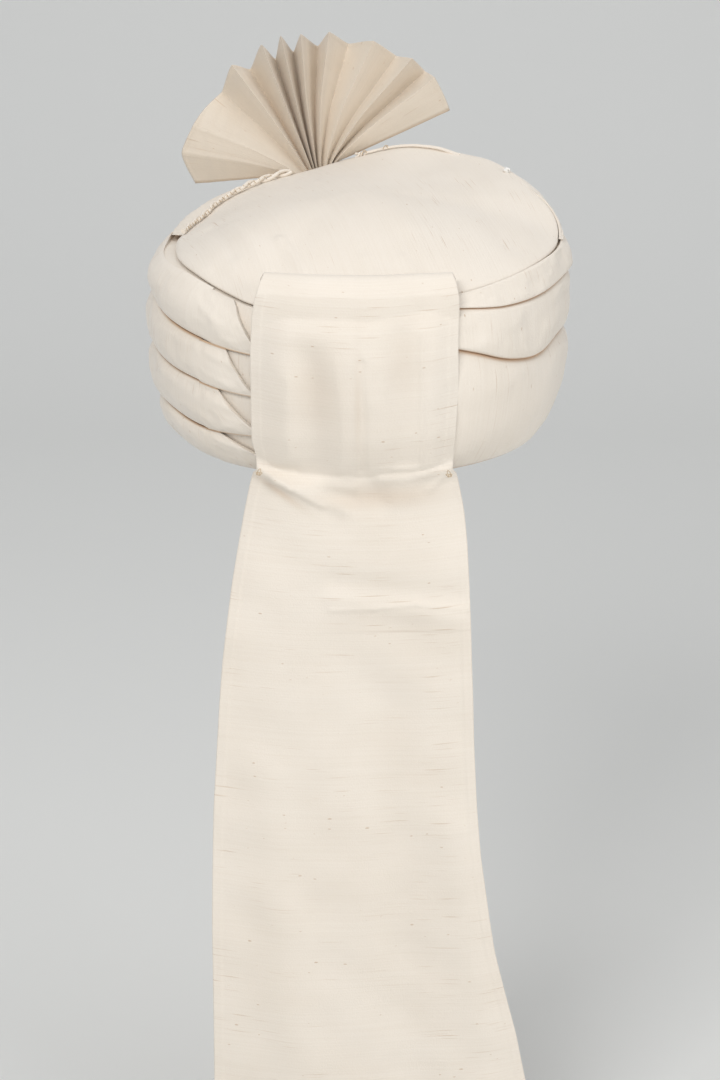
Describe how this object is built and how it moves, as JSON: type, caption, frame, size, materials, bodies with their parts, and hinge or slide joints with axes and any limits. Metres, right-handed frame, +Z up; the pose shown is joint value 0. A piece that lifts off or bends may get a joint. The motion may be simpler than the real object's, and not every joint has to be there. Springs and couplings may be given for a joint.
{
  "type": "tied turban",
  "caption": "Ready-tied pagri turban in slubbed raw silk with padded wraps, a domed crown, a pleated fan and a hanging tail.",
  "frame": {"origin": "centre of the head opening, in the plane of the cap's rim", "axes": "+Z up, +Y the wearer's forward, +X the wearer's right"},
  "size_m": [0.2495, 0.299, 0.607],
  "materials": {
    "ivory_raw_silk": "matte"
  },
  "bodies": {
    "root": {"crown_cap": "ivory_raw_silk", "front_band": "ivory_raw_silk", "wrap_1": "ivory_raw_silk", "wrap_2": "ivory_raw_silk", "wrap_3": "ivory_raw_silk", "wrap_4": "ivory_raw_silk", "under_wrap": "ivory_raw_silk", "ridge_twist": "ivory_raw_silk", "ridge_piping": "ivory_raw_silk", "turra_fan": "ivory_raw_silk", "tail": "ivory_raw_silk"}
  },
  "joints": []
}
